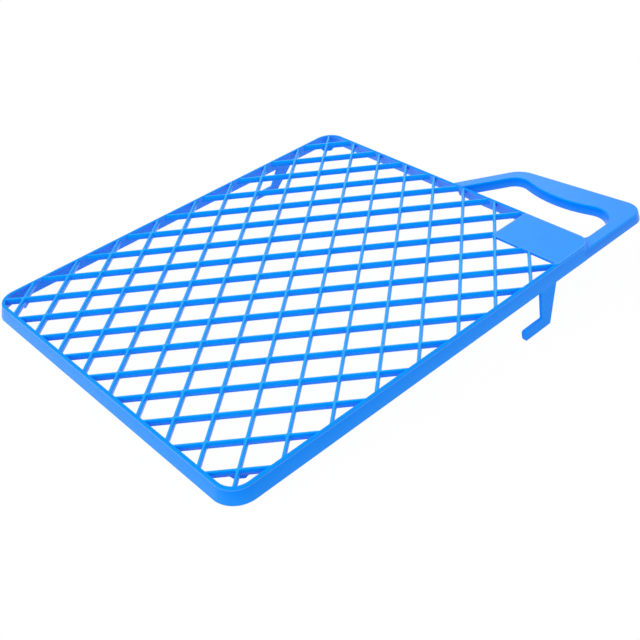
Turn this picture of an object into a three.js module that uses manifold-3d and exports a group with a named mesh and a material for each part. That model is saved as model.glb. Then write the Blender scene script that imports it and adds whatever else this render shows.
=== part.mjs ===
// Paint roller grid: a rectangular rim with a diamond lattice flush with its top, a plate in one corner,
// a D-shaped handle that grows out of that corner and two flat hooks below the long walls.
// Millimetres, +Z up. The origin is the middle of the rim's top plane, +X points to the handle.
import * as THREE from "three";
import { mergeVertices } from "three/addons/utils/BufferGeometryUtils.js";
import Module from "manifold-3d";

const wasm = await Module();
wasm.setup();

// ---- Driving dimensions ----

// Every wall of the moulding leans outwards as it goes down, so that it leaves its mould.
const FLARE = 0.3; // sideways lean per millimetre of depth
const WALL = 2.2; // thickness of every wall, measured level
const SEAM = 0.3; // gap where two slanted or round surfaces meet

const RIM_LENGTH = 300; // outline of the rim's top edge, along X
const RIM_WIDTH = 250; // the same along Y
const RIM_HEIGHT = 9.5;
const RIM_CORNER_RADIUS = 13;

const PITCH_X = 33.8; // from one crossing of the lattice to the next, along X
const PITCH_Y = 28.15; // the same along Y
const BAR_DEPTH = 4.5;
const BAR_EDGE_WIDTH = 1.4; // at the top and at the bottom
const BAR_WAIST_WIDTH = 2.5; // at the parting line, where the bar is widest
const BAR_WAIST_DEPTH = 1.9;

const PLATE_LENGTH = 36.2; // from the rim's end at the handle
const PLATE_WIDTH = 54; // from the rim's front side
const PLATE_THICKNESS = 1.6;

const HANDLE_DROP = 3; // from the rim's top down to the handle's top face
const HANDLE_SKIN = 1.6; // thickness of the handle's top
const HANDLE_ROOT_SPAN = 125.6; // along the rim's end, from the front side to the slanted arm
const HANDLE_FRONT_REACH = 59.8; // from the rim's end to the front outer corner
const HANDLE_FRONT_RADIUS = 11.5;
const HANDLE_BACK_REACH = 49.1; // from the rim's end to the back outer corner
const HANDLE_BACK_SPAN = 96.6; // from the front side to the back outer corner
const HANDLE_BACK_RADIUS = 18;

const ARM_FRONT_WIDTH = 8.2; // between the handle's front side and the hand hole
const ARM_SLANTED_WIDTH = 8.6; // the same at the root of the other arm, along the rim's end
const HOLE_FRONT_INSET = 14; // along X, from the handle's front outer corner to the hole's
const HOLE_FRONT_RADIUS = 15;
const HOLE_BULGE_INSET = 29.7; // along X, to the corner that leads the grip's bulge into the hole
const HOLE_BULGE_SPAN = 54.4; // from the front side to that corner
const HOLE_BULGE_RADIUS = 78;
const GRIP_LEAD = 2.1; // along X, from that corner back to where the arms pass into the grip
const HOLE_BACK_INSET = 6.6; // along X, from the handle's back outer corner to the hole's
const HOLE_BACK_FALL = 5.5; // the same along Y
const HOLE_BACK_RADIUS = 12;

const NOTCH_INSET = 1.7; // from the slanted arm's outer edge to the notch in the rim's end
const NOTCH_WIDTH = 18.3;
const NOTCH_TOP = 3.7; // height of the strip of wall that stays above the notch
const NOTCH_RADIUS = 1.8;

const HOOK_SETBACK = 41; // from the rim's end to the leg's outer edge
const HOOK_LEG_WIDTH = 15.4; // where the leg leaves the wall
const HOOK_LEG_SLANT = 3.9; // how far the leg's inner edge leans away from the handle
const HOOK_HEEL_SLANT = 13; // how far its outer edge does
const HOOK_DROP = 21.8; // from the rim's underside to the foot's underside
const HOOK_FOOT_HEIGHT = 6.3;
const HOOK_FOOT_REACH = 18.2; // from the leg's inner edge to the toe
const HOOK_TOE_SLANT = 1;
const HOOK_TOE_RADIUS = 2.2;
const HOOK_HEEL_RADIUS = 1.8;
const HOOK_THROAT_RADIUS = 0.8;

const FIN_LENGTH = 10; // along the bar that carries it
const FIN_TIP_LENGTH = 6;
const FIN_DEPTH = 2.3;

const STUB_RADIUS = 0.9;
const STUB_HEIGHT = 0.5;

const ARC_STEP = THREE.MathUtils.degToRad(7.5); // longest facet of a rounded corner
const PAST = 1; // how far a cutting solid runs past what it cuts

const PLASTIC = { color: 0x2f8ef7, roughness: 0.38, metalness: 0 };

// ---- Outlines and solids ----

/**
 * A closed outline of straight sides and rounded corners, anticlockwise. Each corner holds the point
 * where its two sides would meet and its radius, which is 0 at a sharp corner. grow moves every side
 * outwards.
 */
function outline(corners, grow = 0) {
  return corners.flatMap(({ x, y, r }, i) => {
    const corner = new THREE.Vector2(x, y);
    const into = corner.clone().sub(corners.at(i - 1)).normalize();
    const away = new THREE.Vector2().copy(corners[(i + 1) % corners.length]).sub(corner).normalize();
    const turn = Math.atan2(into.cross(away), into.dot(away));
    const side = Math.sign(turn); // 1 at a convex corner and -1 at a hollow one
    const normal = new THREE.Vector2(into.y, -into.x);
    const mitre = new THREE.Vector2(away.y, -away.x).add(normal);
    mitre.divideScalar(mitre.dot(normal));
    if (r === 0) return [corner.addScaledVector(mitre, grow)];
    const centre = corner.addScaledVector(mitre, -side * r);
    const steps = Math.ceil(Math.abs(turn) / ARC_STEP);
    return Array.from({ length: steps + 1 }, (_, step) => {
      const angle = normal.angle() + (turn * step) / steps;
      const spoke = new THREE.Vector2(Math.cos(angle), Math.sin(angle));
      return spoke.multiplyScalar(side * r + grow).add(centre);
    });
  });
}

/** A closed mesh through outlines that have the same number of points, from the lowest to the highest. */
function loft(levels) {
  const count = levels[0].points.length;
  const position = levels.flatMap(({ z, points }) => points.flatMap((point) => [point.x, point.y, z]));
  const index = [];
  for (let i = 0; i < position.length / 3 - count; i++) {
    const next = i % count === count - 1 ? i + 1 - count : i + 1;
    index.push(i, next, next + count, i, next + count, i + count);
  }
  const cap = ({ points }) => THREE.ShapeUtils.triangulateShape(points, []);
  const last = position.length / 3 - count;
  for (const [a, b, c] of cap(levels[0])) index.push(c, b, a);
  for (const [a, b, c] of cap(levels.at(-1))) index.push(a + last, b + last, c + last);
  return new THREE.BufferGeometry()
    .setAttribute("position", new THREE.Float32BufferAttribute(position, 3))
    .setIndex(index);
}

/** The solid inside a closed mesh. */
function solidOf(geometry) {
  geometry.deleteAttribute("normal");
  geometry.deleteAttribute("uv");
  const merged = mergeVertices(geometry);
  return new wasm.Manifold(
    new wasm.Mesh({
      numProp: 3,
      vertProperties: merged.attributes.position.array,
      triVerts: new Uint32Array(merged.index.array),
    }),
  );
}

/**
 * A solid whose sides lean: its outline is given at the level where grow holds, and lean is what the
 * outline gains for each millimetre below that level.
 */
function leaning(corners, { level, grow = 0, lean, top, bottom }) {
  const at = (z) => ({ z, points: outline(corners, grow + lean * (level - z)) });
  return solidOf(loft([at(bottom), at(top)]));
}

/** The solid of an axis-aligned box between two corners. */
function block(low, high) {
  const size = high.clone().sub(low);
  const middle = low.clone().add(high).multiplyScalar(0.5);
  return solidOf(new THREE.BoxGeometry(...size).translate(...middle));
}

/** A named mesh in the moulding's plastic, from a solid or a geometry. */
function piece(name, shape) {
  let geometry = shape;
  if (!shape.isBufferGeometry) {
    const { vertProperties, triVerts } = shape.getMesh();
    geometry = new THREE.BufferGeometry()
      .setAttribute("position", new THREE.BufferAttribute(vertProperties, 3))
      .setIndex(new THREE.BufferAttribute(triVerts, 1));
  }
  const material = new THREE.MeshStandardMaterial({ ...PLASTIC, flatShading: true });
  const mesh = new THREE.Mesh(geometry, material);
  mesh.name = name;
  return mesh;
}

const vec = (x, y, z) => new THREE.Vector3(x, y, z);

// ---- Rim ----

const END = RIM_LENGTH / 2;
const SIDE = RIM_WIDTH / 2;
const FRONT = -SIDE - FLARE * HANDLE_DROP; // the front wall's outer face at the level of the handle's top

const rimCorners = [
  { x: END, y: -SIDE, r: RIM_CORNER_RADIUS },
  { x: END, y: SIDE, r: RIM_CORNER_RADIUS },
  { x: -END, y: SIDE, r: RIM_CORNER_RADIUS },
  { x: -END, y: -SIDE, r: RIM_CORNER_RADIUS },
];

/** What lies inside the rim's outer surface, moved outwards by grow. */
function insideRim(grow, top = PAST, bottom = -RIM_HEIGHT - PAST) {
  return leaning(rimCorners, { level: 0, grow, lean: FLARE, top, bottom });
}

/** The notch in the rim's end, below the root of the slanted arm. */
function notch() {
  const start = FRONT + HANDLE_ROOT_SPAN - NOTCH_INSET;
  const floor = -RIM_HEIGHT - PAST;
  const corners = [
    { x: start - NOTCH_WIDTH, y: floor, r: 0 },
    { x: start, y: floor, r: 0 },
    { x: start, y: -NOTCH_TOP, r: NOTCH_RADIUS },
    { x: start - NOTCH_WIDTH, y: -NOTCH_TOP, r: NOTCH_RADIUS },
  ];
  const depth = 2 * WALL + FLARE * RIM_HEIGHT + PAST;
  const prism = new THREE.ExtrudeGeometry(new THREE.Shape(outline(corners)), {
    depth,
    bevelEnabled: false,
  });
  const turned = new THREE.Matrix4().makeBasis(vec(0, 1, 0), vec(0, 0, 1), vec(1, 0, 0));
  return solidOf(prism.applyMatrix4(turned).translate(END - WALL - PAST, 0, 0));
}

/** The rim: four straight walls and four rounded corners, parted where the corner arcs begin. */
function rim() {
  const ring = insideRim(0, 0, -RIM_HEIGHT).subtract(insideRim(-WALL));
  const reach = END + SIDE; // past everything
  const split = { x: END - RIM_CORNER_RADIUS, y: SIDE - RIM_CORNER_RADIUS };
  const spans = (limit) => [
    [-reach, -limit],
    [-limit, limit],
    [limit, reach],
  ];
  const names = [
    ["rim_corner_far_front", "rim_end_far", "rim_corner_far_back"],
    ["rim_side_front", null, "rim_side_back"],
    ["rim_corner_handle_front", "rim_end_handle", "rim_corner_handle_back"],
  ];
  const group = new THREE.Group();
  spans(split.x).forEach(([x0, x1], column) => {
    spans(split.y).forEach(([y0, y1], row) => {
      const name = names[column][row];
      if (!name) return;
      let part = ring.intersect(block(vec(x0, y0, -reach), vec(x1, y1, reach)));
      if (name === "rim_end_handle") part = part.subtract(notch());
      group.add(piece(name, part));
    });
  });
  return group;
}

// ---- Lattice ----

/** One diamond of the lattice, as the solid that is cut out between four bars, around a middle. */
function cell(x, y) {
  const corners = [
    { x: x + PITCH_X / 2, y, r: 0 },
    { x, y: y + PITCH_Y / 2, r: 0 },
    { x: x - PITCH_X / 2, y, r: 0 },
    { x, y: y - PITCH_Y / 2, r: 0 },
  ];
  const at = (z, barWidth) => ({ z, points: outline(corners, -barWidth / 2) });
  return solidOf(
    loft([
      at(-BAR_DEPTH - PAST, BAR_EDGE_WIDTH),
      at(-BAR_DEPTH, BAR_EDGE_WIDTH),
      at(-BAR_WAIST_DEPTH, BAR_WAIST_WIDTH),
      at(0, BAR_EDGE_WIDTH),
      at(PAST, BAR_EDGE_WIDTH),
    ]),
  );
}

/** The box that the corner plate fills, run past the rim and above the top. */
function plateRoom() {
  return block(
    vec(END - PLATE_LENGTH, -RIM_WIDTH, -PLATE_THICKNESS),
    vec(RIM_LENGTH, PLATE_WIDTH - SIDE, PAST),
  );
}

/** The crossing bars: what the diamonds leave inside the rim and under the plate. */
function lattice() {
  const parts = [insideRim(-WALL - SEAM, 0, -BAR_DEPTH), plateRoom()];
  // Half pitches from the middle. Bars cross where their sum is even, and diamonds lie where it is odd.
  const across = Math.ceil(RIM_LENGTH / PITCH_X);
  const up = Math.ceil(RIM_WIDTH / PITCH_Y);
  for (let i = -across; i <= across; i++) {
    for (let j = -up; j <= up; j++) {
      if ((i + j) % 2 !== 0) parts.push(cell((i * PITCH_X) / 2, (j * PITCH_Y) / 2));
    }
  }
  return piece("grid_lattice", wasm.Manifold.difference(parts));
}

/** The plate in the corner at the handle, flush with the rim's top. */
function plate() {
  return piece("corner_plate", insideRim(-WALL - SEAM, 0).intersect(plateRoom()));
}

/** The crossing of the lattice nearest to the rim's corner that leaves room around a fin. */
function cornerCrossing() {
  const inset = WALL + SEAM + FIN_LENGTH / 2;
  const across = Math.floor((2 * (END - inset)) / PITCH_X);
  const up = Math.floor((2 * (SIDE - inset)) / PITCH_Y);
  const odd = (across + up) % 2; // half pitches add up to an even number at a crossing
  return { x: ((across - odd) * PITCH_X) / 2, y: (up * PITCH_Y) / 2 };
}

/** Small fins below the lattice: one at each corner, along the outermost bar. */
function fins() {
  const { x, y } = cornerCrossing();
  const shape = new THREE.Shape([
    new THREE.Vector2(-FIN_TIP_LENGTH / 2, -BAR_DEPTH - FIN_DEPTH),
    new THREE.Vector2(FIN_TIP_LENGTH / 2, -BAR_DEPTH - FIN_DEPTH),
    new THREE.Vector2(FIN_LENGTH / 2, -BAR_DEPTH),
    new THREE.Vector2(-FIN_LENGTH / 2, -BAR_DEPTH),
  ]);
  const up = vec(0, 0, 1);
  const group = new THREE.Group();
  for (const [endName, alongX] of [["far", -1], ["handle", 1]]) {
    for (const [sideName, alongY] of [["front", -1], ["back", 1]]) {
      const along = vec(PITCH_X, -alongX * alongY * PITCH_Y, 0).normalize();
      const turned = new THREE.Matrix4().makeBasis(along, up, along.clone().cross(up));
      const fin = new THREE.ExtrudeGeometry(shape, { depth: BAR_EDGE_WIDTH, bevelEnabled: false });
      fin.translate(0, 0, -BAR_EDGE_WIDTH / 2).applyMatrix4(turned);
      const mesh = piece(`corner_fin_${endName}_${sideName}`, fin);
      mesh.position.set(alongX * x, alongY * y, 0);
      group.add(mesh);
    }
  }
  return group;
}

/** The stub that the gate left on top of the first crossing from the middle towards the handle. */
function gateStub() {
  const profile = [
    new THREE.Vector2(0, 0),
    new THREE.Vector2(STUB_RADIUS, 0),
    new THREE.Vector2(STUB_RADIUS * 0.8, STUB_HEIGHT),
    new THREE.Vector2(0, STUB_HEIGHT),
  ];
  const stub = new THREE.LatheGeometry(profile, 12).rotateX(Math.PI / 2);
  return piece("gate_stub", solidOf(stub.translate(PITCH_X, 0, 0)));
}

// ---- Handle ----

// The handle's front side is in line with the rim's front wall.
const handleFront = { x: END + HANDLE_FRONT_REACH, y: FRONT, r: HANDLE_FRONT_RADIUS };
const handleBack = { x: END + HANDLE_BACK_REACH, y: FRONT + HANDLE_BACK_SPAN, r: HANDLE_BACK_RADIUS };
const handleCorners = [
  { x: END - RIM_CORNER_RADIUS, y: FRONT, r: 0 },
  handleFront,
  handleBack,
  throughRoot(handleBack, HANDLE_ROOT_SPAN),
];

const holeFront = {
  x: handleFront.x - HOLE_FRONT_INSET,
  y: FRONT + ARM_FRONT_WIDTH,
  r: HOLE_FRONT_RADIUS,
};
const holeBulge = {
  x: handleFront.x - HOLE_BULGE_INSET,
  y: FRONT + HOLE_BULGE_SPAN,
  r: HOLE_BULGE_RADIUS,
};
const holeBack = {
  x: handleBack.x - HOLE_BACK_INSET,
  y: handleBack.y - HOLE_BACK_FALL,
  r: HOLE_BACK_RADIUS,
};
const holeCorners = [
  { x: END - RIM_CORNER_RADIUS, y: holeFront.y, r: 0 },
  holeFront,
  holeBulge,
  holeBack,
  throughRoot(holeBack, HANDLE_ROOT_SPAN - ARM_SLANTED_WIDTH),
];

/** The corner inside the rim that a slanted side runs to from a corner, through its root on the rim's end. */
function throughRoot(from, span) {
  const slope = (from.y - FRONT - span) / (from.x - END);
  return { x: END - RIM_CORNER_RADIUS, y: FRONT + span - slope * RIM_CORNER_RADIUS, r: 0 };
}

/** The handle: a channel, open below, around the hand hole, parted where the arms meet the grip. */
function handle() {
  const level = -HANDLE_DROP;
  const ceiling = level - HANDLE_SKIN;
  const bottom = -RIM_HEIGHT;
  const below = bottom - PAST;
  const body = leaning(handleCorners, { level, lean: FLARE, top: level, bottom });
  const hole = leaning(holeCorners, { level, lean: -FLARE, top: 0, bottom: below });
  const within = leaning(handleCorners, { level, grow: -WALL, lean: FLARE, top: ceiling, bottom: below });
  const skirt = leaning(holeCorners, { level, grow: WALL, lean: -FLARE, top: 0, bottom: below });
  const channel = body.subtract(hole).subtract(within.subtract(skirt)).subtract(insideRim(SEAM));
  const split = holeBulge.x - GRIP_LEAD;
  const reach = END + SIDE;
  const group = new THREE.Group();
  const spans = [
    ["handle_arm_front", vec(0, -reach, -reach), vec(split, holeBulge.y, reach)],
    ["handle_arm_slanted", vec(0, holeBulge.y, -reach), vec(split, reach, reach)],
    ["handle_grip", vec(split, -reach, -reach), vec(reach, reach, reach)],
  ];
  for (const [name, low, high] of spans) group.add(piece(name, channel.intersect(block(low, high))));
  return group;
}

// ---- Hooks ----

/** A hook below each long wall, its plate in line with the wall. The back one mirrors the front one. */
function hooks() {
  const root = END - HOOK_SETBACK;
  const sole = -RIM_HEIGHT - HOOK_DROP;
  const instep = sole + HOOK_FOOT_HEIGHT;
  const throat = root - HOOK_LEG_WIDTH - HOOK_LEG_SLANT;
  const toe = throat - HOOK_FOOT_REACH;
  const corners = [
    { x: root, y: -RIM_HEIGHT, r: 0 },
    { x: root - HOOK_LEG_WIDTH, y: -RIM_HEIGHT, r: 0 },
    { x: throat, y: instep, r: HOOK_THROAT_RADIUS },
    { x: toe, y: instep, r: HOOK_TOE_RADIUS },
    { x: toe - HOOK_TOE_SLANT, y: sole, r: HOOK_TOE_RADIUS },
    { x: root - HOOK_HEEL_SLANT, y: sole, r: HOOK_HEEL_RADIUS },
  ];
  const shape = new THREE.Shape(outline(corners));
  // The outline's second axis becomes Z and leans out with the wall, and the depth runs outwards.
  const lean = new THREE.Matrix4().makeBasis(vec(1, 0, 0), vec(0, FLARE, 1), vec(0, -1, 0));
  const group = new THREE.Group();
  for (const [name, mirror] of [["hook_front", 1], ["hook_back", -1]]) {
    const prism = new THREE.ExtrudeGeometry(shape, { depth: WALL, bevelEnabled: false });
    const mesh = piece(name, prism.applyMatrix4(lean).translate(0, WALL - SIDE, 0));
    mesh.scale.y = mirror;
    group.add(mesh);
  }
  return group;
}

const grid = new THREE.Group();
grid.add(rim(), lattice(), plate(), fins(), gateStub(), handle(), hooks());

export default grid;
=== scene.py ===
"""Looks of a paint roller grid: one moulding in semi-gloss blue plastic, above a plain pale floor.

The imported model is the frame. Every region of the moulding is made again here with the rounded edges,
fillets and grain that the frame's plain solids lack, at the frame's own size and place. Lengths are in
millimetres until a mesh becomes an object, and in metres from there on.
"""

import logging
import math
from abc import ABC, abstractmethod
from collections.abc import Iterator, Mapping, Sequence
from dataclasses import dataclass, field
from enum import Enum

import bmesh
import bpy
from mathutils import Matrix, Vector


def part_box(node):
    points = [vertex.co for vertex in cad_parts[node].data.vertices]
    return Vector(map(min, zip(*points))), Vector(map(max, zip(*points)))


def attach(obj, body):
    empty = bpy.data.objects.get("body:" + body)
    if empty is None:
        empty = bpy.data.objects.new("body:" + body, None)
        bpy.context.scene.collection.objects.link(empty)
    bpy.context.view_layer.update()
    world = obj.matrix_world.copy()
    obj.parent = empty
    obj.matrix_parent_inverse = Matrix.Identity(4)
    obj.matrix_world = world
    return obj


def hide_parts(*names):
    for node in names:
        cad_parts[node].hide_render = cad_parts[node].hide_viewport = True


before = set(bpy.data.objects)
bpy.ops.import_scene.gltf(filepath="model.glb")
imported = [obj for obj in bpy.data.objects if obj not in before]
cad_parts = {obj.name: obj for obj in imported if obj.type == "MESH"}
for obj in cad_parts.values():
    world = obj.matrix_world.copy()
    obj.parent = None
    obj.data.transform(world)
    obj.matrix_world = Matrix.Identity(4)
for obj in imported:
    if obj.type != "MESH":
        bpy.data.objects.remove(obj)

log = logging.getLogger("grid")

MM = 0.001  # a millimetre in metres
BODY = "root"

ARC_STEP = math.radians(5)  # longest facet of a rounded corner
SMALL = 2.5  # radius below which a corner is rounded in longer facets
SMALL_ARC_STEP = math.radians(12)
SINK = 0.5  # how far a piece runs into the one that it grows out of
HAIR = 0.02  # how far a face stays off a flush face of its neighbour
PAST = 1.0  # how far a cutting shape runs past what it cuts
MERGE = 0.004  # points closer than this become one
SLIVER = 0.002  # edges shorter than this are dissolved
SHARP = math.radians(32)  # a steeper edge between two faces is drawn as a crease

FLARE = 0.3  # sideways lean of every wall per millimetre of depth
WALL = 2.2  # thickness of every wall, measured level


class Slot(Enum):
    """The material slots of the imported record."""

    GRID = "grid_plastic"
    HANDLE = "handle_plastic"


class End(Enum):
    """The rim's two ends, along X."""

    FAR = "far"
    HANDLE = "handle"


class Side(Enum):
    """The rim's two long sides, along Y. The plate and the handle are at the front."""

    FRONT = "front"
    BACK = "back"


# ---- Outlines and closed shapes ----


@dataclass(frozen=True)
class Corner:
    """A corner of an outline: the point where its two sides would meet, and its rounding."""

    x: float
    y: float
    radius: float = 0.0


class Outline:
    """A closed outline of straight sides and rounded corners, anticlockwise."""

    def __init__(self, *corners: Corner) -> None:
        """Keeps the corners.

        Args:
            corners: The corners in order.
        """
        self.corners = corners

    def points(self, grow: float = 0.0) -> list[Vector]:
        """Works out the outline's points.

        Args:
            grow: How far every side is moved outwards.

        Returns:
            The points, as many for every value of grow.
        """
        spots = [Vector((corner.x, corner.y)) for corner in self.corners]
        made: list[Vector] = []
        for i, spot in enumerate(spots):
            into = (spot - spots[i - 1]).normalized()
            away = (spots[(i + 1) % len(spots)] - spot).normalized()
            made.extend(self._bend(spot, into, away, self.corners[i].radius, grow))
        return made

    @staticmethod
    def _bend(spot: Vector, into: Vector, away: Vector, radius: float, grow: float) -> Iterator[Vector]:
        """Rounds one corner.

        Args:
            spot: The point where the two sides would meet.
            into: The direction of the side that ends there.
            away: The direction of the side that starts there.
            radius: The rounding.
            grow: How far the sides are moved outwards.

        Yields:
            The corner's points in order.
        """
        turn = math.atan2(into.cross(away), into.dot(away))
        side = math.copysign(1, turn)  # 1 at a convex corner and -1 at a hollow one
        normal = Vector((into.y, -into.x))
        mitre = Vector((away.y, -away.x)) + normal
        mitre /= mitre.dot(normal)
        if radius == 0:
            yield spot + mitre * grow
            return
        centre = spot - mitre * side * radius
        steps = math.ceil(abs(turn) / (SMALL_ARC_STEP if radius < SMALL else ARC_STEP))
        start = math.atan2(normal.y, normal.x)
        for step in range(steps + 1):
            angle = start + turn * step / steps
            yield centre + Vector((math.cos(angle), math.sin(angle))) * (side * radius + grow)


Level = tuple[float, list[Vector]]  # a height, and the outline's points there


@dataclass
class Shape:
    """A closed mesh in millimetres."""

    vertices: list[Vector] = field(default_factory=list)
    faces: list[tuple[int, ...]] = field(default_factory=list)

    @classmethod
    def loft(cls, levels: Sequence[Level], endless: bool = False) -> "Shape":
        """Joins outlines that have the same number of points.

        Args:
            levels: The outlines from the lowest to the highest, or around a section if endless.
            endless: Whether the last outline joins the first, where otherwise caps close the ends.

        Returns:
            The closed shape.
        """
        count = len(levels[0][1])
        made = cls([Vector((*point, height)) for height, points in levels for point in points])
        total = len(made.vertices)
        for base in range(0, total if endless else total - count, count):
            for i in range(count):
                low, low_next = base + i, base + (i + 1) % count
                high, high_next = (low + count) % total, (low_next + count) % total
                made.faces.append((low, low_next, high_next, high))
        if not endless:
            made.faces.append(tuple(reversed(range(count))))
            made.faces.append(tuple(range(total - count, total)))
        return made

    @classmethod
    def leaning(cls, outline: Outline, levels: Sequence[tuple[float, float]]) -> "Shape":
        """Lofts one outline through levels that grow it.

        Args:
            outline: The outline.
            levels: Pairs of what the outline grows by and the height, from the lowest to the highest.

        Returns:
            The closed shape.
        """
        return cls.loft([(height, outline.points(grow)) for grow, height in levels])

    @classmethod
    def joined(cls, shapes: Sequence["Shape"]) -> "Shape":
        """Puts several shapes that don't touch into one.

        Args:
            shapes: The shapes.

        Returns:
            The one shape.
        """
        made = cls()
        for shape in shapes:
            base = len(made.vertices)
            made.vertices.extend(shape.vertices)
            made.faces.extend(tuple(base + i for i in face) for face in shape.faces)
        return made

    def turned(self, matrix: Matrix) -> "Shape":
        """Moves the shape.

        Args:
            matrix: The move, which may mirror.

        Returns:
            The moved shape, with its faces still pointing out.
        """
        mirrored = matrix.to_3x3().determinant() < 0
        faces = [tuple(reversed(face)) for face in self.faces] if mirrored else self.faces
        return Shape([matrix @ vertex for vertex in self.vertices], list(faces))

    def to_object(self, name: str) -> bpy.types.Object:
        """Makes a Blender object of the shape.

        Args:
            name: The object's name.

        Returns:
            The object, in metres.
        """
        mesh = bpy.data.meshes.new(name)
        mesh.from_pydata([vertex * MM for vertex in self.vertices], [], self.faces)
        made = bpy.data.objects.new(name, mesh)
        bpy.context.scene.collection.objects.link(made)
        return made


def edge_levels(*section: Corner) -> list[tuple[float, float]]:
    """Turns the visible side of a section into levels for Shape.leaning.

    Args:
        section: The section's corners, whose first and last lie inside the shape and are left out.

    Returns:
        Pairs of what an outline grows by and the height, from the lowest to the highest.
    """
    return [(point.x, point.y) for point in Outline(*section).points()[1:-1]]


def cut(target: bpy.types.Object, *tools: Shape | bpy.types.Object) -> None:
    """Cuts shapes out of an object, one after the other.

    Args:
        target: The object, whose mesh is replaced.
        tools: The shapes to cut out. One that is an object already is used up.
    """
    for tool in tools:
        cutter = tool.to_object("cutter") if isinstance(tool, Shape) else tool
        modifier = target.modifiers.new("cut", "BOOLEAN")
        modifier.solver = "MANIFOLD"
        modifier.operation = "DIFFERENCE"
        modifier.object = cutter
        graph = bpy.context.evaluated_depsgraph_get()
        result = bpy.data.meshes.new_from_object(target.evaluated_get(graph))
        target.modifiers.clear()
        old, target.data = target.data, result
        bpy.data.meshes.remove(old)
        bpy.data.meshes.remove(cutter.data)


def polish(target: bpy.types.Object) -> None:
    """Merges what a cut left doubled, and shades the mesh smooth up to its creases.

    Args:
        target: The object.
    """
    made = bmesh.new()
    made.from_mesh(target.data)
    bmesh.ops.remove_doubles(made, verts=made.verts, dist=MERGE * MM)
    bmesh.ops.dissolve_degenerate(made, edges=made.edges, dist=SLIVER * MM)
    made.to_mesh(target.data)
    made.free()
    target.data.shade_smooth()
    target.data.set_sharp_from_angle(angle=SHARP)
    weights = target.modifiers.new("weighted normals", "WEIGHTED_NORMAL")
    weights.keep_sharp = True


# ---- Shader maths ----


class Value:
    """A number that a node gives, for use in expressions."""

    def __init__(self, tree: bpy.types.NodeTree, socket: bpy.types.NodeSocket) -> None:
        """Keeps the node tree and the output socket."""
        self.tree = tree
        self.socket = socket

    def _math(self, operation: str, first: "Value | float", second: "Value | float") -> "Value":
        """Adds a Math node.

        Args:
            operation: The node's operation.
            first: Its first value.
            second: Its second value.

        Returns:
            The node's result.
        """
        made = Nodes(self.tree).add("ShaderNodeMath", {"operation": operation}, {0: first, 1: second})
        return Value(self.tree, made.outputs[0])

    def __add__(self, other: "Value | float") -> "Value":
        """Adds."""
        return self._math("ADD", self, other)

    __radd__ = __add__

    def __sub__(self, other: "Value | float") -> "Value":
        """Takes away."""
        return self._math("SUBTRACT", self, other)

    def __rsub__(self, other: float) -> "Value":
        """Takes this value away from a number."""
        return self._math("SUBTRACT", other, self)

    def __mul__(self, other: "Value | float") -> "Value":
        """Multiplies."""
        return self._math("MULTIPLY", self, other)

    __rmul__ = __mul__

    def at_most(self, other: float) -> "Value":
        """Returns the smaller of this value and a number."""
        return self._math("MINIMUM", self, other)


Input = Value | bpy.types.NodeSocket | float | tuple[float, ...]

# Sockets of a Mix node, which has several of each name.
MIX_FIRST_COLOUR = 6
MIX_SECOND_COLOUR = 7
MIX_COLOUR_RESULT = 2


class Nodes:
    """Adds nodes to a node tree."""

    def __init__(self, tree: bpy.types.NodeTree) -> None:
        """Keeps the node tree."""
        self.tree = tree

    def add(
        self,
        kind: str,
        settings: Mapping[str, object] | None = None,
        sockets: Mapping[str | int, Input] | None = None,
    ) -> bpy.types.Node:
        """Adds a node.

        Args:
            kind: The node's type.
            settings: Its settings, such as an operation, which are set first.
            sockets: Values or links for its input sockets, by name or number.

        Returns:
            The node.
        """
        made = self.tree.nodes.new(kind)
        for name, value in (settings or {}).items():
            setattr(made, name, value)
        for name, value in (sockets or {}).items():
            source = value.socket if isinstance(value, Value) else value
            if isinstance(source, bpy.types.NodeSocket):
                self.tree.links.new(source, made.inputs[name])
            else:
                made.inputs[name].default_value = source
        return made

    def mixed(self, share: Input, first: Input, second: Input) -> bpy.types.NodeSocket:
        """Mixes two colours.

        Args:
            share: The second colour's share.
            first: The first colour.
            second: The second colour.

        Returns:
            The mixed colour.
        """
        sockets = {"Factor": share, MIX_FIRST_COLOUR: first, MIX_SECOND_COLOUR: second}
        return self.add("ShaderNodeMix", {"data_type": "RGBA"}, sockets).outputs[MIX_COLOUR_RESULT]

    def value(self, node: bpy.types.Node, output: str | int = 0) -> Value:
        """Returns a node's output as a value for expressions."""
        return Value(self.tree, node.outputs[output])


def empty_tree(owner: bpy.types.Material | bpy.types.World) -> Nodes:
    """Switches a material or world to nodes and clears them.

    Args:
        owner: The material or world.

    Returns:
        Its nodes.
    """
    owner.use_nodes = True
    owner.node_tree.nodes.clear()
    return Nodes(owner.node_tree)


def seen_directly(nodes: Nodes) -> Value:
    """Tells the rays that see a surface from those that only carry light.

    Args:
        nodes: The nodes of the surface's material or of the world.

    Returns:
        1 for rays from the camera, reflected in gloss or sent through glass, and 0 for the rest.
    """
    path = nodes.add("ShaderNodeLightPath")
    camera = nodes.value(path, "Is Camera Ray")
    gloss = nodes.value(path, "Is Glossy Ray")
    glass = nodes.value(path, "Is Transmission Ray")
    return (camera + gloss + glass).at_most(1)


# ---- Finishes ----

Colour = tuple[float, float, float, float]


@dataclass(frozen=True)
class Fade:
    """A change with height, from none of it at the start to all of it at the end. Heights are in metres."""

    start: float
    end: float
    colour: Colour
    rougher: float = 0.0  # what it adds to the roughness

    def share(self, nodes: Nodes, place: bpy.types.NodeSocket) -> Value:
        """Finds how far the change has gone.

        Args:
            nodes: The material's nodes.
            place: The coordinates.

        Returns:
            The share, from 0 to 1.
        """
        height = nodes.add("ShaderNodeSeparateXYZ", None, {0: place}).outputs["Z"]
        ends = {"Value": height, "From Min": self.start, "From Max": self.end}
        return nodes.value(nodes.add("ShaderNodeMapRange", None, ends))


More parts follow.
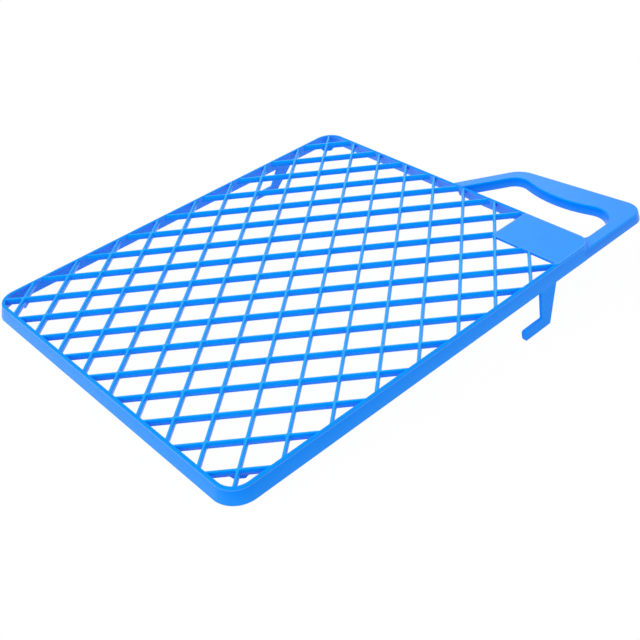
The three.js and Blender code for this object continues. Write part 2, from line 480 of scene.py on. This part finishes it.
@dataclass(frozen=True)
class MouldedPlastic:
    """Semi-gloss blue plastic as it leaves the mould, with a fine grain and faint clouds of pigment.

    Depths are in metres, and scales count features per metre.
    """

    name: str
    deep: Colour = (0.001, 0.248, 0.985, 1.0)
    light: Colour = (0.003, 0.272, 1.0, 1.0)
    fades: tuple[Fade, ...] = ()
    cloud_scale: float = 28.0
    roughness: float = 0.3
    roughness_spread: float = 0.10
    grain_scale: float = 1000.0
    grain_depth: float = 0.00008
    ripple_scale: float = 70.0
    ripple_depth: float = 0.00006
    refraction: float = 1.7
    tint: Colour = (0.02, 0.4, 1.0, 1.0)
    bloom: float = 0.3  # pale sheen of the grain where it is seen at a flat angle
    bloom_roughness: float = 0.25
    bloom_tint: Colour = (1.0, 0.5, 1.0, 1.0)
    streak_depth: float = 0.0
    streak_scale: float = 260.0
    streak_stretch: float = 12.0
    streak_turn: float = 0.0

    def make(self) -> bpy.types.Material:
        """Makes the material.

        Returns:
            The material, whose pattern lies in the object's own coordinates.
        """
        made = bpy.data.materials.new(self.name)
        nodes = empty_tree(made)
        place = nodes.add("ShaderNodeTexCoord").outputs["Object"]
        clouds = self._noise(nodes, place, self.cloud_scale, octaves=3)
        grain = self._noise(nodes, place, self.grain_scale, octaves=2)
        ripple = self._noise(nodes, place, self.ripple_scale, octaves=1)
        colour = nodes.mixed(clouds, self.deep, self.light)
        roughness = self.roughness + self.roughness_spread * (grain - 0.5)
        for fade in self.fades:
            share = fade.share(nodes, place)
            colour = nodes.mixed(share, colour, fade.colour)
            roughness = roughness + share * fade.rougher
        height = grain * self.grain_depth + ripple * self.ripple_depth
        if self.streak_depth:
            height = height + self._streaks(nodes, place) * self.streak_depth
        bump = nodes.add("ShaderNodeBump", None, {"Height": height, "Distance": 1.0, "Strength": 1.0})
        shader = nodes.add(
            "ShaderNodeBsdfPrincipled",
            None,
            {
                "Base Color": colour,
                "Roughness": roughness,
                "IOR": self.refraction,
                "Specular Tint": self.tint,
                "Sheen Weight": self.bloom,
                "Sheen Roughness": self.bloom_roughness,
                "Sheen Tint": self.bloom_tint,
                "Normal": bump.outputs["Normal"],
            },
        )
        nodes.add("ShaderNodeOutputMaterial", None, {"Surface": shader.outputs[0]})
        return made

    @staticmethod
    def _noise(nodes: Nodes, place: bpy.types.NodeSocket, scale: float, octaves: int) -> Value:
        """Adds a noise.

        Args:
            nodes: The material's nodes.
            place: The coordinates.
            scale: Features per metre.
            octaves: How many layers, each finer than the one before.

        Returns:
            The noise, from 0 to 1 with a mean of 0.5.
        """
        made = nodes.add("ShaderNodeTexNoise", None, {"Vector": place, "Scale": scale, "Detail": octaves})
        return nodes.value(made, "Fac")

    def _streaks(self, nodes: Nodes, place: bpy.types.NodeSocket) -> Value:
        """Adds the faint lines that the melt leaves where it flowed.

        Args:
            nodes: The material's nodes.
            place: The coordinates.

        Returns:
            The streaks, from 0 to 1.
        """
        along = nodes.add(
            "ShaderNodeMapping",
            {"vector_type": "TEXTURE"},
            {
                "Vector": place,
                "Rotation": (0.0, 0.0, self.streak_turn),
                "Scale": (self.streak_stretch, 1.0, 1.0),
            },
        )
        return self._noise(nodes, along.outputs[0], self.streak_scale, octaves=2)


# ---- The moulding ----


class Region(ABC):
    """A region of the moulding that stands for nodes of the frame."""

    name: str
    slot: Slot = Slot.GRID

    @property
    @abstractmethod
    def nodes(self) -> tuple[str, ...]:
        """The frame's nodes that the region stands for."""

    @abstractmethod
    def build(self) -> bpy.types.Object:
        """Returns the region's object, without its finish."""

    def finish(self) -> MouldedPlastic:
        """Returns the region's finish."""
        return MouldedPlastic(f"{self.name}_plastic")

    def place(self) -> bpy.types.Object:
        """Builds the region, dresses it and ties it to the frame.

        Returns:
            The finished object.
        """
        made = self.build()
        polish(made)
        made.data.materials.clear()
        made.data.materials.append(self.finish().make())
        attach(made, BODY)
        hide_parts(*self.nodes)
        log.info("%s: %d faces, for %s", made.name, len(made.data.polygons), ", ".join(self.nodes))
        return made


def frame_box(*nodes: str) -> tuple[Vector, Vector]:
    """Finds the box of some of the frame's nodes.

    Args:
        nodes: The nodes' names.

    Returns:
        The lowest and the highest corner, in millimetres.
    """
    boxes = [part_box(node) for node in nodes]
    low = Vector(min(box[0][axis] for box in boxes) for axis in range(3))
    high = Vector(max(box[1][axis] for box in boxes) for axis in range(3))
    return low / MM, high / MM


@dataclass
class Rim(Region):
    """The flared rim around the lattice, with the notch in its end at the handle."""

    name: str = "rim_band"
    corner_radius: float = 13.0
    handle_corner_radius: float = 10.0  # of the tighter corner between the plate and the handle
    outer_edge: float = 0.4
    inner_edge: float = 0.35
    lower_edge: float = 0.15
    skin_depth: float = 0.5  # of the dull, rougher skin on the top, whose colour keeps part of the painted glow
    highlight_line_depth: float = 1.0  # down to the middle of the painted highlight line below it
    notch_start: float = -20.3  # along Y
    notch_end: float = -2.0
    notch_top: float = -3.7
    notch_radius: float = 1.8

    def __post_init__(self) -> None:
        """Takes the rim's size from the frame."""
        low, high = frame_box(*self.nodes)
        self.height = high.z - low.z
        self.end = high.x - FLARE * self.height  # of the top outline, from the middle
        self.side = high.y - FLARE * self.height

    @property
    def nodes(self) -> tuple[str, ...]:
        """Names the rim's four walls and four corners.

        Returns:
            The nodes' names.
        """
        ends = (f"rim_end_{end.value}" for end in End)
        sides = (f"rim_side_{side.value}" for side in Side)
        corners = (f"rim_corner_{end.value}_{side.value}" for end in End for side in Side)
        return (*ends, *sides, *corners)

    def outline(self) -> Outline:
        """Draws the rim's top edge.

        Returns:
            Its outer outline.
        """
        x, y, radius = self.end, self.side, self.corner_radius
        tight = Corner(x, -y, self.handle_corner_radius)
        return Outline(tight, Corner(x, y, radius), Corner(-x, y, radius), Corner(-x, -y, radius))

    def inside(self, grow: float, top: float = PAST, bottom: float | None = None) -> Shape:
        """Makes what lies inside the rim's outer surface.

        Args:
            grow: How far that surface is moved outwards.
            top: The shape's top.
            bottom: The shape's bottom, which is below the rim if it isn't given.

        Returns:
            The closed shape.
        """
        floor = -self.height - PAST if bottom is None else bottom
        return Shape.leaning(self.outline(), [(grow - FLARE * z, z) for z in (floor, top)])

    def notch(self) -> Shape:
        """Makes the notch through the rim's end, below the handle's slanted arm.

        Returns:
            The shape to cut out.
        """
        section = Outline(
            Corner(self.notch_start, -self.height - PAST),
            Corner(self.notch_end, -self.height - PAST),
            Corner(self.notch_end, self.notch_top, self.notch_radius),
            Corner(self.notch_start, self.notch_top, self.notch_radius),
        )
        reach = (self.end - WALL - PAST, self.end + FLARE * self.height + PAST)
        prism = Shape.loft([(x, section.points()) for x in reach])
        along_x = Matrix(((0, 0, 1, 0), (1, 0, 0, 0), (0, 1, 0, 0), (0, 0, 0, 1)))
        return prism.turned(along_x)

    def finish(self) -> MouldedPlastic:
        """Describes the plastic: a dull top painted brighter as if lit through the thin edge, a thin
        painted highlight line below it, and lower walls painted lighter with painted light reflected from
        the floor.

        Returns:
            The finish.
        """
        low, skin, line = -self.height * MM, -self.skin_depth * MM, -self.highlight_line_depth * MM
        line_end = 2 * line - skin
        return MouldedPlastic(
            f"{self.name}_plastic",
            deep=(0.001, 0.232, 0.96, 1.0),
            light=(0.003, 0.256, 1.0, 1.0),
            fades=(
                # painted light reflected from the floor: the walls turn lighter towards their lower edge
                Fade(line, low, (0.02, 0.285, 1.0, 1.0)),
                # painted highlight: a thin pale band just below the top
                Fade(line_end, line, (0.075, 0.31, 1.0, 1.0)),
                # painted glow: the top band turns brighter, as if light shows through the thin edge
                Fade(line, skin, (0.0, 0.3, 1.0, 1.0)),
                # a rougher top; its colour stays painted brighter than the wall
                Fade(skin, 0.0, (0.0, 0.275, 1.0, 1.0), rougher=0.6),
            ),
            ripple_depth=0.00015,
        )

    def build(self) -> bpy.types.Object:
        """Sweeps the wall's section around the outline and cuts the notch.

        Returns:
            The rim's object.
        """
        lean = FLARE * self.height
        section = Outline(
            Corner(0, 0, self.outer_edge),
            Corner(-WALL, 0, self.inner_edge),
            Corner(lean - WALL, -self.height, self.lower_edge),
            Corner(lean, -self.height, self.lower_edge),
        )
        outline = self.outline()
        rings = [(spot.y, outline.points(spot.x)) for spot in section.points()]
        made = Shape.loft(rings, endless=True).to_object(self.name)
        cut(made, self.notch())
        return made


@dataclass
class Plate(Region):
    """The plate in the corner at the handle, whose top runs on into the rim's."""

    rim: Rim
    name: str = "corner_plate_skin"
    thickness: float = 1.6
    edge: float = 0.5
    lower_edge: float = 0.15
    lip: float = 0.08  # height of the plate's edges above the rim's top
    lip_width: float = 1.0
    lip_slope: float = 0.6  # width of the fall from the lip to the plate's middle

    def __post_init__(self) -> None:
        """Takes the plate's two free edges from the frame."""
        low, high = frame_box(*self.nodes)
        self.left = low.x
        self.back = high.y

    @property
    def nodes(self) -> tuple[str, ...]:
        """The plate."""
        return ("corner_plate",)

    def room(self) -> Shape:
        """Makes the room that the lattice leaves for the plate, less what the two share.

        Returns:
            The shape to cut out of the lattice.
        """
        far = self.rim.end + self.rim.side  # past the rim on both axes
        outline = Outline(
            Corner(self.left + SINK, -far),
            Corner(far, -far),
            Corner(far, self.back - SINK),
            Corner(self.left + SINK, self.back - SINK),
        )
        return Shape.leaning(outline, [(0, -self.thickness + SINK), (0, PAST)])

    def finish(self) -> MouldedPlastic:
        """Describes the plastic, with flow lines across the plate and a painted highlight on its pale lip.

        Returns:
            The finish.
        """
        return MouldedPlastic(
            f"{self.name}_plastic",
            # painted highlight: the raised lip is painted pale
            fades=(Fade(2 * HAIR * MM, self.lip * MM, (0.06, 0.29, 1.0, 1.0)),),
            roughness=0.4,
            streak_depth=0.00003,
            streak_turn=math.radians(35),
        )

    def build(self) -> bpy.types.Object:
        """Makes the plate, which covers the rim's top up to its rounded outer edge.

        Returns:
            The plate's object.
        """
        x, y = self.rim.end, -self.rim.side
        outline = Outline(
            Corner(self.left, y),
            Corner(x, y, self.rim.handle_corner_radius),
            Corner(x, self.back),
            Corner(self.left, self.back),
        )
        levels = edge_levels(
            Corner(-WALL, -self.thickness),
            Corner(0, -self.thickness, self.lower_edge),
            Corner(0, self.lip, self.edge),
            Corner(-WALL, self.lip),
        )
        levels += [(-self.lip_width, self.lip), (-self.lip_width - self.lip_slope, HAIR)]
        return Shape.leaning(outline, levels).to_object(self.name)


@dataclass
class Lattice(Region):
    """The crossing bars, as what diamond openings leave of a slab."""

    rim: Rim
    plate: Plate
    name: str = "lattice_bars"
    pitch_x: float = 33.8
    pitch_y: float = 28.15
    edge_half: float = 0.7  # half a bar's width at its top and bottom
    waist_half: float = 1.25  # the same at the parting line
    waist_depth: float = 1.9
    waist_blur: float = 0.3  # half the height over which the colour changes there
    top_round: float = 0.8
    lower_round: float = 0.25
    waist_round: float = 0.12
    fillet: float = 0.5  # where two bars meet, seen from above

    def __post_init__(self) -> None:
        """Takes the bars' depth from the frame."""
        low, high = frame_box(*self.nodes)
        self.depth = high.z - low.z

    @property
    def nodes(self) -> tuple[str, ...]:
        """The lattice."""
        return ("grid_lattice",)

    def finish(self) -> MouldedPlastic:
        """Describes the plastic, with the light that shows through the bars above their parting line.

        Returns:
            The finish.
        """
        waist, blur = -self.waist_depth * MM, self.waist_blur * MM
        return MouldedPlastic(
            f"{self.name}_plastic",
            fades=(Fade(waist - blur, waist + blur, (0.001, 0.335, 1.0, 1.0)),),
            bloom=0.05,
        )

    def levels(self) -> list[tuple[float, float]]:
        """Draws a bar's section, a lozenge with rounded corners.

        Returns:
            Pairs of half the bar's width and the height, from below the bar to above it.
        """
        bar = edge_levels(
            Corner(0, -self.depth),
            Corner(self.edge_half, -self.depth, self.lower_round),
            Corner(self.waist_half, -self.waist_depth, self.waist_round),
            Corner(self.edge_half, 0, self.top_round),
            Corner(0, 0),
        )
        return [(bar[0][0], -self.depth - PAST), *bar, (bar[-1][0], PAST)]

    def cell(self, levels: Sequence[tuple[float, float]]) -> Shape:
        """Makes the opening between four bars.

        Args:
            levels: The bar's half widths and heights.

        Returns:
            The opening's shape, around the origin.
        """
        x, y = self.pitch_x / 2, self.pitch_y / 2
        diamond = Outline(Corner(x, 0), Corner(0, y), Corner(-x, 0), Corner(0, -y))
        tight = diamond.points(-self.waist_half)  # where the bars are widest
        opening = Outline(*(Corner(spot.x, spot.y, self.fillet) for spot in tight))
        return Shape.leaning(opening, [(self.waist_half - half, height) for half, height in levels])

    def build(self) -> bpy.types.Object:
        """Cuts every opening out of a slab that ends inside the rim's wall.

        Returns:
            The lattice's object.
        """
        slab = self.rim.inside(-WALL / 2, -HAIR, -self.depth + HAIR)
        cell = self.cell(self.levels())
        across = math.ceil(2 * self.rim.end / self.pitch_x)
        up = math.ceil(2 * self.rim.side / self.pitch_y)
        cells = [
            cell.turned(Matrix.Translation((i * self.pitch_x / 2, j * self.pitch_y / 2, 0)))
            for i in range(-across, across + 1)
            for j in range(-up, up + 1)
            if (i + j) % 2
        ]
        made = slab.to_object(self.name)
        cut(made, self.plate.room(), Shape.joined(cells))
        return made


@dataclass
class Fin(Region):
    """A small fin below the bar that crosses a corner of the rim."""

    lattice: Lattice
    end: End
    side: Side
    tip_length: float = 6.0
    root_length: float = 10.0
    half_width: float = 0.65
    edge: float = 0.2

    def __post_init__(self) -> None:
        """Names the fin, and takes its place and depth from the frame."""
        self.name = f"fin_{self.end.value}_{self.side.value}"
        low, high = frame_box(*self.nodes)
        self.middle = (low + high) / 2
        self.depth = high.z - low.z

    @property
    def nodes(self) -> tuple[str, ...]:
        """The fin of this corner."""
        return (f"corner_{self.name}",)

    def build(self) -> bpy.types.Object:
        """Makes the fin along its bar, run up into it.

        Returns:
            The fin's object.
        """
        root = self.lattice.depth
        tip, shoulder = self.tip_length / 2, self.root_length / 2
        section = Outline(
            Corner(-tip, -root - self.depth, self.edge),
            Corner(tip, -root - self.depth, self.edge),
            Corner(shoulder, -root),
            Corner(shoulder, -root + SINK),
            Corner(-shoulder, -root + SINK),
            Corner(-shoulder, -root),
        )
        levels = edge_levels(
            Corner(-tip, -self.half_width),
            Corner(0, -self.half_width, self.edge),
            Corner(0, self.half_width, self.edge),
            Corner(-tip, self.half_width),
        )
        slope = -math.copysign(self.lattice.pitch_y, self.middle.x * self.middle.y)
        along = Vector((self.lattice.pitch_x, slope, 0)).normalized()
        up = Vector((0, 0, 1))
        turned = Matrix((along, up, along.cross(up))).transposed().to_4x4()
        move = Matrix.Translation((self.middle.x, self.middle.y, 0)) @ turned
        return Shape.leaning(section, levels).turned(move).to_object(self.name)


@dataclass
class GateStub(Region):
    """What the mould's gate left on top of a crossing: a small stub with a torn, dished top."""

    name: str = "gate_stub_torn"
    facets: int = 20
    foot: float = 0.1  # share of the height up to which the side is straight
    shoulder: float = 0.8  # share of the height up to which it draws in slowly
    shoulder_reach: float = 0.86  # share of the stub's radius, as the next three are
    torn_reach: float = 0.74
    dish_reach: float = 0.5
    middle_reach: float = 0.1
    dish: float = 0.15  # the dish's depth below the torn edge
    middle_dish: float = 0.12  # its depth at the middle

    @property
    def nodes(self) -> tuple[str, ...]:
        """The stub."""
        return ("gate_stub",)

    def build(self) -> bpy.types.Object:
        """Turns the stub's section: a side that draws in, a torn edge, and the dish behind it.

        Returns:
            The stub's object.
        """
        low, high = frame_box(*self.nodes)
        middle = (low + high) / 2
        radius, top = (high.x - low.x) / 2, high.z - HAIR
        section = (
            (radius, -SINK),
            (radius, self.foot * top),
            (self.shoulder_reach * radius, self.shoulder * top),
            (self.torn_reach * radius, top),
            (self.dish_reach * radius, top - self.dish),
            (self.middle_reach * radius, top - self.middle_dish),
        )
        levels = [(height, self._circle(middle, reach)) for reach, height in section]
        return Shape.loft(levels).to_object(self.name)

    def _circle(self, middle: Vector, radius: float) -> list[Vector]:
        """Returns the points of a circle around a middle."""
        turns = (math.tau * i / self.facets for i in range(self.facets))
        return [middle.xy + radius * Vector((math.cos(turn), math.sin(turn))) for turn in turns]


@dataclass
class Handle(Region):
    """The handle: a channel, open below, around the hand hole."""

    rim: Rim
    name: str = "handle_channel"
    slot: Slot = Slot.HANDLE
    drop: float = 3.0  # from the rim's top to the handle's
    skin: float = 1.6
    root_span: float = 125.6  # along the rim's end, from the front side to the slanted arm
    front_reach: float = 59.8
    front_radius: float = 11.5
    back_reach: float = 49.1
    back_span: float = 96.6
    back_radius: float = 18.0
    arm_front: float = 8.2
    arm_slanted: float = 8.6
    hole_front_inset: float = 14.0
    hole_front_radius: float = 15.0
    hole_bulge_inset: float = 29.7
    hole_bulge_span: float = 54.4
    hole_bulge_radius: float = 78.0
    hole_back_inset: float = 6.6
    hole_back_fall: float = 5.5
    hole_back_radius: float = 12.0
    hole_front_fillet: float = 7.0  # where the hand hole meets the rim
    hole_back_fillet: float = 2.0
    overlap: float = 0.3  # how far the hand hole runs into the rim
    top_edge: float = 0.9
    hole_edge: float = 0.7
    lower_edge: float = 0.3
    painted_reflection_depth: float = 2.3  # from the top down to where painted light reflected from the floor starts to turn the walls pale
    glow_depth: float = 1.1  # from the top down through the bright edge
    glow_blur: float = 0.45

    def __post_init__(self) -> None:
        """Works out the handle's heights, and where its front side lies."""
        self.level = -self.drop
        self.bottom = -self.rim.height
        self.front = -self.rim.side - FLARE * self.drop + HAIR

    @property
    def nodes(self) -> tuple[str, ...]:
        """The two arms and the grip."""
        return ("handle_arm_front", "handle_arm_slanted", "handle_grip")

    def _root(self, corner: Corner, span: float, x: float, radius: float = 0.0) -> Corner:
        """Finds where a slanted side ends at the rim.

        Args:
            corner: The corner that the side comes from.
            span: Where it crosses the rim's end, from the front side.
            x: Where it ends.
            radius: The rounding there.

        Returns:
            The corner at its end.
        """
        slope = (corner.y - self.front - span) / (corner.x - self.rim.end)
        return Corner(x, self.front + span + slope * (x - self.rim.end), radius)

    def finish(self) -> MouldedPlastic:
        """Describes the plastic: low walls painted paler with painted light reflected from the floor, and
        painted light that shows through the rounded edges.

        Returns:
            The finish.
        """
        top, low = self.level * MM, self.bottom * MM
        glow, blur, hair = top - self.glow_depth * MM, self.glow_blur * MM, HAIR * MM
        return MouldedPlastic(
            f"{self.name}_plastic",
            deep=(0.0, 0.2, 0.92, 1.0),
            light=(0.0, 0.225, 0.96, 1.0),
            fades=(
                # painted light reflected from the floor: the walls turn paler towards their lower edge
                Fade(top - self.painted_reflection_depth * MM, low, (0.045, 0.26, 0.92, 1.0)),
                Fade(glow, glow + blur, (0.0, 0.31, 1.0, 1.0)),
                Fade(top - blur / 2, top - hair, (0.002, 0.258, 1.0, 1.0)),
            ),
        )

    def outer(self) -> Outline:
        """Draws the handle's top.

        Returns:
            Its outer outline, run back into the rim.
        """
        end, start = self.rim.end, self.rim.end - self.rim.corner_radius
        back = Corner(end + self.back_reach, self.front + self.back_span, self.back_radius)
        return Outline(
            Corner(start, self.front),
            Corner(end + self.front_reach, self.front, self.front_radius),
            back,
            self._root(back, self.root_span, start),
        )

    def hole(self) -> Outline:
        """Draws the hand hole, with the grip's bulge on its far side.

        Returns:
            Its outline at the handle's top.
        """
        end = self.rim.end
        start = end + FLARE * self.drop - self.overlap
        near = self.front + self.arm_front
        reach, back_reach = end + self.front_reach, end + self.back_reach
        back = Corner(
            back_reach - self.hole_back_inset,
            self.front + self.back_span - self.hole_back_fall,
            self.hole_back_radius,
        )
        bulge = Corner(
            reach - self.hole_bulge_inset,
            self.front + self.hole_bulge_span,
            self.hole_bulge_radius,
        )
        return Outline(
            Corner(start, near, self.hole_front_fillet),
            Corner(reach - self.hole_front_inset, near, self.hole_front_radius),
            bulge,
            back,
            self._root(back, self.root_span - self.arm_slanted, start, self.hole_back_fillet),
        )

    def build(self) -> bpy.types.Object:
        """Makes the handle's body and cuts out the hand hole, the channel and the rim's inside.

        Returns:
            The handle's object.
        """
        lean = FLARE * (self.level - self.bottom)
        below = self.bottom - PAST
        outer, hole = self.outer(), self.hole()
        body = edge_levels(
            Corner(-WALL, self.bottom),
            Corner(lean, self.bottom, self.lower_edge),
            Corner(0, self.level, self.top_edge),
            Corner(-WALL, self.level),
        )
        # The hole is widest at its rounded upper lip and narrows as its walls lean in.
        lip = Outline(
            Corner(WALL, self.level),
            Corner(0, self.level, self.hole_edge),
            Corner(-lean, self.bottom, self.lower_edge),
            Corner(WALL, self.bottom),
        )
        rounded = [(spot.x, spot.y) for spot in reversed(lip.points()[1:-1])]
        opening = [(rounded[0][0], below), *rounded, (rounded[-1][0], PAST)]
        made = Shape.leaning(outer, body).to_object(self.name)
        channel = self._channel(outer, hole, below)
        cut(made, Shape.leaning(hole, opening), channel, self.rim.inside(-WALL / 2))
        return made

    def _channel(self, outer: Outline, hole: Outline, below: float) -> bpy.types.Object:
        """Makes the hollow under the handle.

        Args:
            outer: The outline of the handle's top.
            hole: The outline of the hand hole.
            below: A height under the handle.

        Returns:
            The hollow, which leaves a wall around the hand hole.
        """
        levels = (below, self.level - self.skin)
        within = Shape.leaning(outer, [(-WALL + FLARE * (self.level - z), z) for z in levels])
        skirt = Shape.leaning(hole, [(WALL - FLARE * (self.level - z), z) for z in (below - PAST, PAST)])
        made = within.to_object("hollow")
        cut(made, skirt)
        return made


@dataclass
class Hook(Region):
    """A flat hook below a long wall, in line with the wall."""

    rim: Rim
    side: Side
    setback: float = 41.0
    leg_width: float = 15.4
    leg_slant: float = 3.9
    heel_slant: float = 13.0
    foot_height: float = 6.3
    foot_reach: float = 18.2
    toe_slant: float = 1.0
    toe_radius: float = 2.2
    heel_radius: float = 1.8
    throat_radius: float = 0.8
    edge: float = 0.25

    def __post_init__(self) -> None:
        """Names the hook, takes its drop from the frame and works out its places along X."""
        self.name = f"hook_{self.side.value}_plate"
        low, high = frame_box(*self.nodes)
        self.sole = low.z
        self.root = self.rim.end - self.setback
        self.throat = self.root - self.leg_width - self.leg_slant
        self.toe = self.throat - self.foot_reach

    @property
    def nodes(self) -> tuple[str, ...]:
        """The hook of this side."""
        return (f"hook_{self.side.value}",)

    def outline(self) -> Outline:
        """Draws the hook from the side, run up into the wall.

        Returns:
            Its outline in X and Z.
        """
        top, instep = -self.rim.height, self.sole + self.foot_height
        hidden = top + 2 * SINK
        return Outline(
            Corner(self.root, hidden),
            Corner(self.root - self.leg_width, hidden),
            Corner(self.root - self.leg_width, top),
            Corner(self.throat, instep, self.throat_radius),
            Corner(self.toe, instep, self.toe_radius),
            Corner(self.toe - self.toe_slant, self.sole, self.toe_radius),
            Corner(self.root - self.heel_slant, self.sole, self.heel_radius),
            Corner(self.root, top),
        )

    def build(self) -> bpy.types.Object:
        """Makes the hook with rounded edges, leaning with its wall.

        Returns:
            The hook's object.
        """
        levels = edge_levels(
            Corner(-WALL, HAIR),
            Corner(0, HAIR, self.edge),
            Corner(0, WALL - HAIR, self.edge),
            Corner(-WALL, WALL - HAIR),
        )
        mirror = 1 if self.side is Side.FRONT else -1
        # The outline's second axis becomes Z and leans out with the wall, and the levels run outwards.
        lean = Matrix(
            (
                (1, 0, 0, 0),
                (0, FLARE * mirror, -mirror, mirror * (WALL - self.rim.side)),
                (0, 1, 0, 0),
                (0, 0, 0, 1),
            )
        )
        return Shape.leaning(self.outline(), levels).turned(lean).to_object(self.name)


# ---- Stage ----


@dataclass(frozen=True)
class Floor:
    """A plain pale floor, touched by the rim's far edge and the toes of the hooks."""

    half: float = 6.0  # metres
    albedo: Colour = (0.9, 0.9, 0.9, 1.0)
    shine_through: float = 0.97  # share of plain white where the floor is seen directly

    def place(self, rim: Rim, hook: Hook) -> None:
        """Lays the floor.

        Args:
            rim: The rim, whose far lower edge touches the floor.
            hook: A hook, whose toe does.
        """
        edge = Vector((-rim.end - FLARE * rim.height, -rim.height))
        toe = Vector((hook.toe, hook.sole))
        slope = (toe.y - edge.y) / (toe.x - edge.x)
        mesh = bpy.data.meshes.new("floor")
        sides = ((-1, -1), (1, -1), (1, 1), (-1, 1))
        level = (edge.y - slope * edge.x - HAIR) * MM
        corners = [(x * self.half, y * self.half, level + slope * x * self.half) for x, y in sides]
        mesh.from_pydata(corners, [], [(0, 1, 2, 3)])
        made = bpy.data.objects.new("floor", mesh)
        bpy.context.scene.collection.objects.link(made)
        mesh.materials.append(self._paint())

    def _paint(self) -> bpy.types.Material:
        """Makes the floor's material: pale paint that is mostly plain white where it is seen directly.

        Returns:
            The material, which keeps a faint shadow.
        """
        made = bpy.data.materials.new("floor_paint")
        nodes = empty_tree(made)
        paint = nodes.add("ShaderNodeBsdfDiffuse", None, {"Color": self.albedo})
        white = nodes.add("ShaderNodeEmission", None, {"Strength": 1.0})
        share = seen_directly(nodes) * self.shine_through
        mixed = nodes.add("ShaderNodeMixShader", None, {0: share, 1: paint.outputs[0], 2: white.outputs[0]})
        nodes.add("ShaderNodeOutputMaterial", None, {"Surface": mixed.outputs[0]})
        return made


@dataclass(frozen=True)
class Softbox:
    """A large soft lamp, aimed at the object. Lengths are in metres."""

    name: str
    spot: tuple[float, float, float]
    size: float
    power: float

    def place(self) -> None:
        """Hangs the lamp."""
        lamp = bpy.data.lights.new(self.name, "AREA")
        lamp.shape = "DISK"
        lamp.size = self.size
        lamp.energy = self.power
        made = bpy.data.objects.new(self.name, lamp)
        made.location = self.spot
        made.rotation_euler = (-Vector(self.spot)).to_track_quat("-Z", "Y").to_euler()
        bpy.context.scene.collection.objects.link(made)


@dataclass(frozen=True)
class Studio:
    """A white room: plain white where it is seen directly, and an even glow for everything else."""

    glow: float = 0.83
    lamps: tuple[Softbox, ...] = (
        Softbox("key_softbox", (-1.2, 1.0, 1.6), 1.4, 11.0),
        Softbox("side_softbox", (-1.8, -0.1, 1.0), 1.4, 5.7),
        Softbox("back_softbox", (1.3, 1.25, 1.35), 1.4, 6.0),
    )

    def place(self) -> None:
        """Makes the world and hangs the lamps."""
        world = bpy.data.worlds.new("white_room")
        nodes = empty_tree(world)
        strength = self.glow + (1 - self.glow) * seen_directly(nodes)
        sky = nodes.add("ShaderNodeBackground", None, {"Color": (1.0, 1.0, 1.0, 1.0), "Strength": strength})
        nodes.add("ShaderNodeOutputWorld", None, {"Surface": sky.outputs[0]})
        scene = bpy.context.scene
        scene.world = world
        scene.view_settings.view_transform = "Standard"
        for lamp in self.lamps:
            lamp.place()


@dataclass(frozen=True)
class Viewpoint:
    """The photograph's camera. Lengths are in metres, and the picture is square."""

    spot: tuple[float, float, float] = (-0.31415, -0.41608, 0.35435)
    aim: tuple[float, float, float] = (-0.02381, -0.05282, 0.0)
    roll: float = math.radians(-6.364)  # about the line of sight
    focal_share: float = 969.03 / 640  # focal length per width of the picture
    sensor: float = 36.0

    def place(self) -> None:
        """Makes the camera the scene's."""
        camera = bpy.data.cameras.new("camera")
        camera.sensor_width = self.sensor
        camera.lens = self.focal_share * self.sensor
        camera.clip_start = 0.01
        made = bpy.data.objects.new("camera", camera)
        sight = Vector(self.aim) - Vector(self.spot)
        upright = sight.to_track_quat("-Z", "Y").to_matrix().to_4x4()
        made.matrix_world = Matrix.Translation(self.spot) @ upright @ Matrix.Rotation(self.roll, 4, "Z")
        bpy.context.scene.collection.objects.link(made)
        bpy.context.scene.camera = made


def main() -> None:
    """Builds every region around the frame and sets the stage."""
    logging.basicConfig(level=logging.INFO, format="%(name)s: %(message)s")
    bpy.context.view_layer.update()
    rim = Rim()
    plate = Plate(rim)
    lattice = Lattice(rim, plate)
    fins = [Fin(lattice, end, side) for end in End for side in Side]
    hooks = [Hook(rim, side) for side in Side]
    for region in (rim, plate, lattice, *fins, GateStub(), Handle(rim), *hooks):
        region.place()
    Floor().place(rim, hooks[0])
    Studio().place()
    Viewpoint().place()


if __name__ == "__main__":
    main()
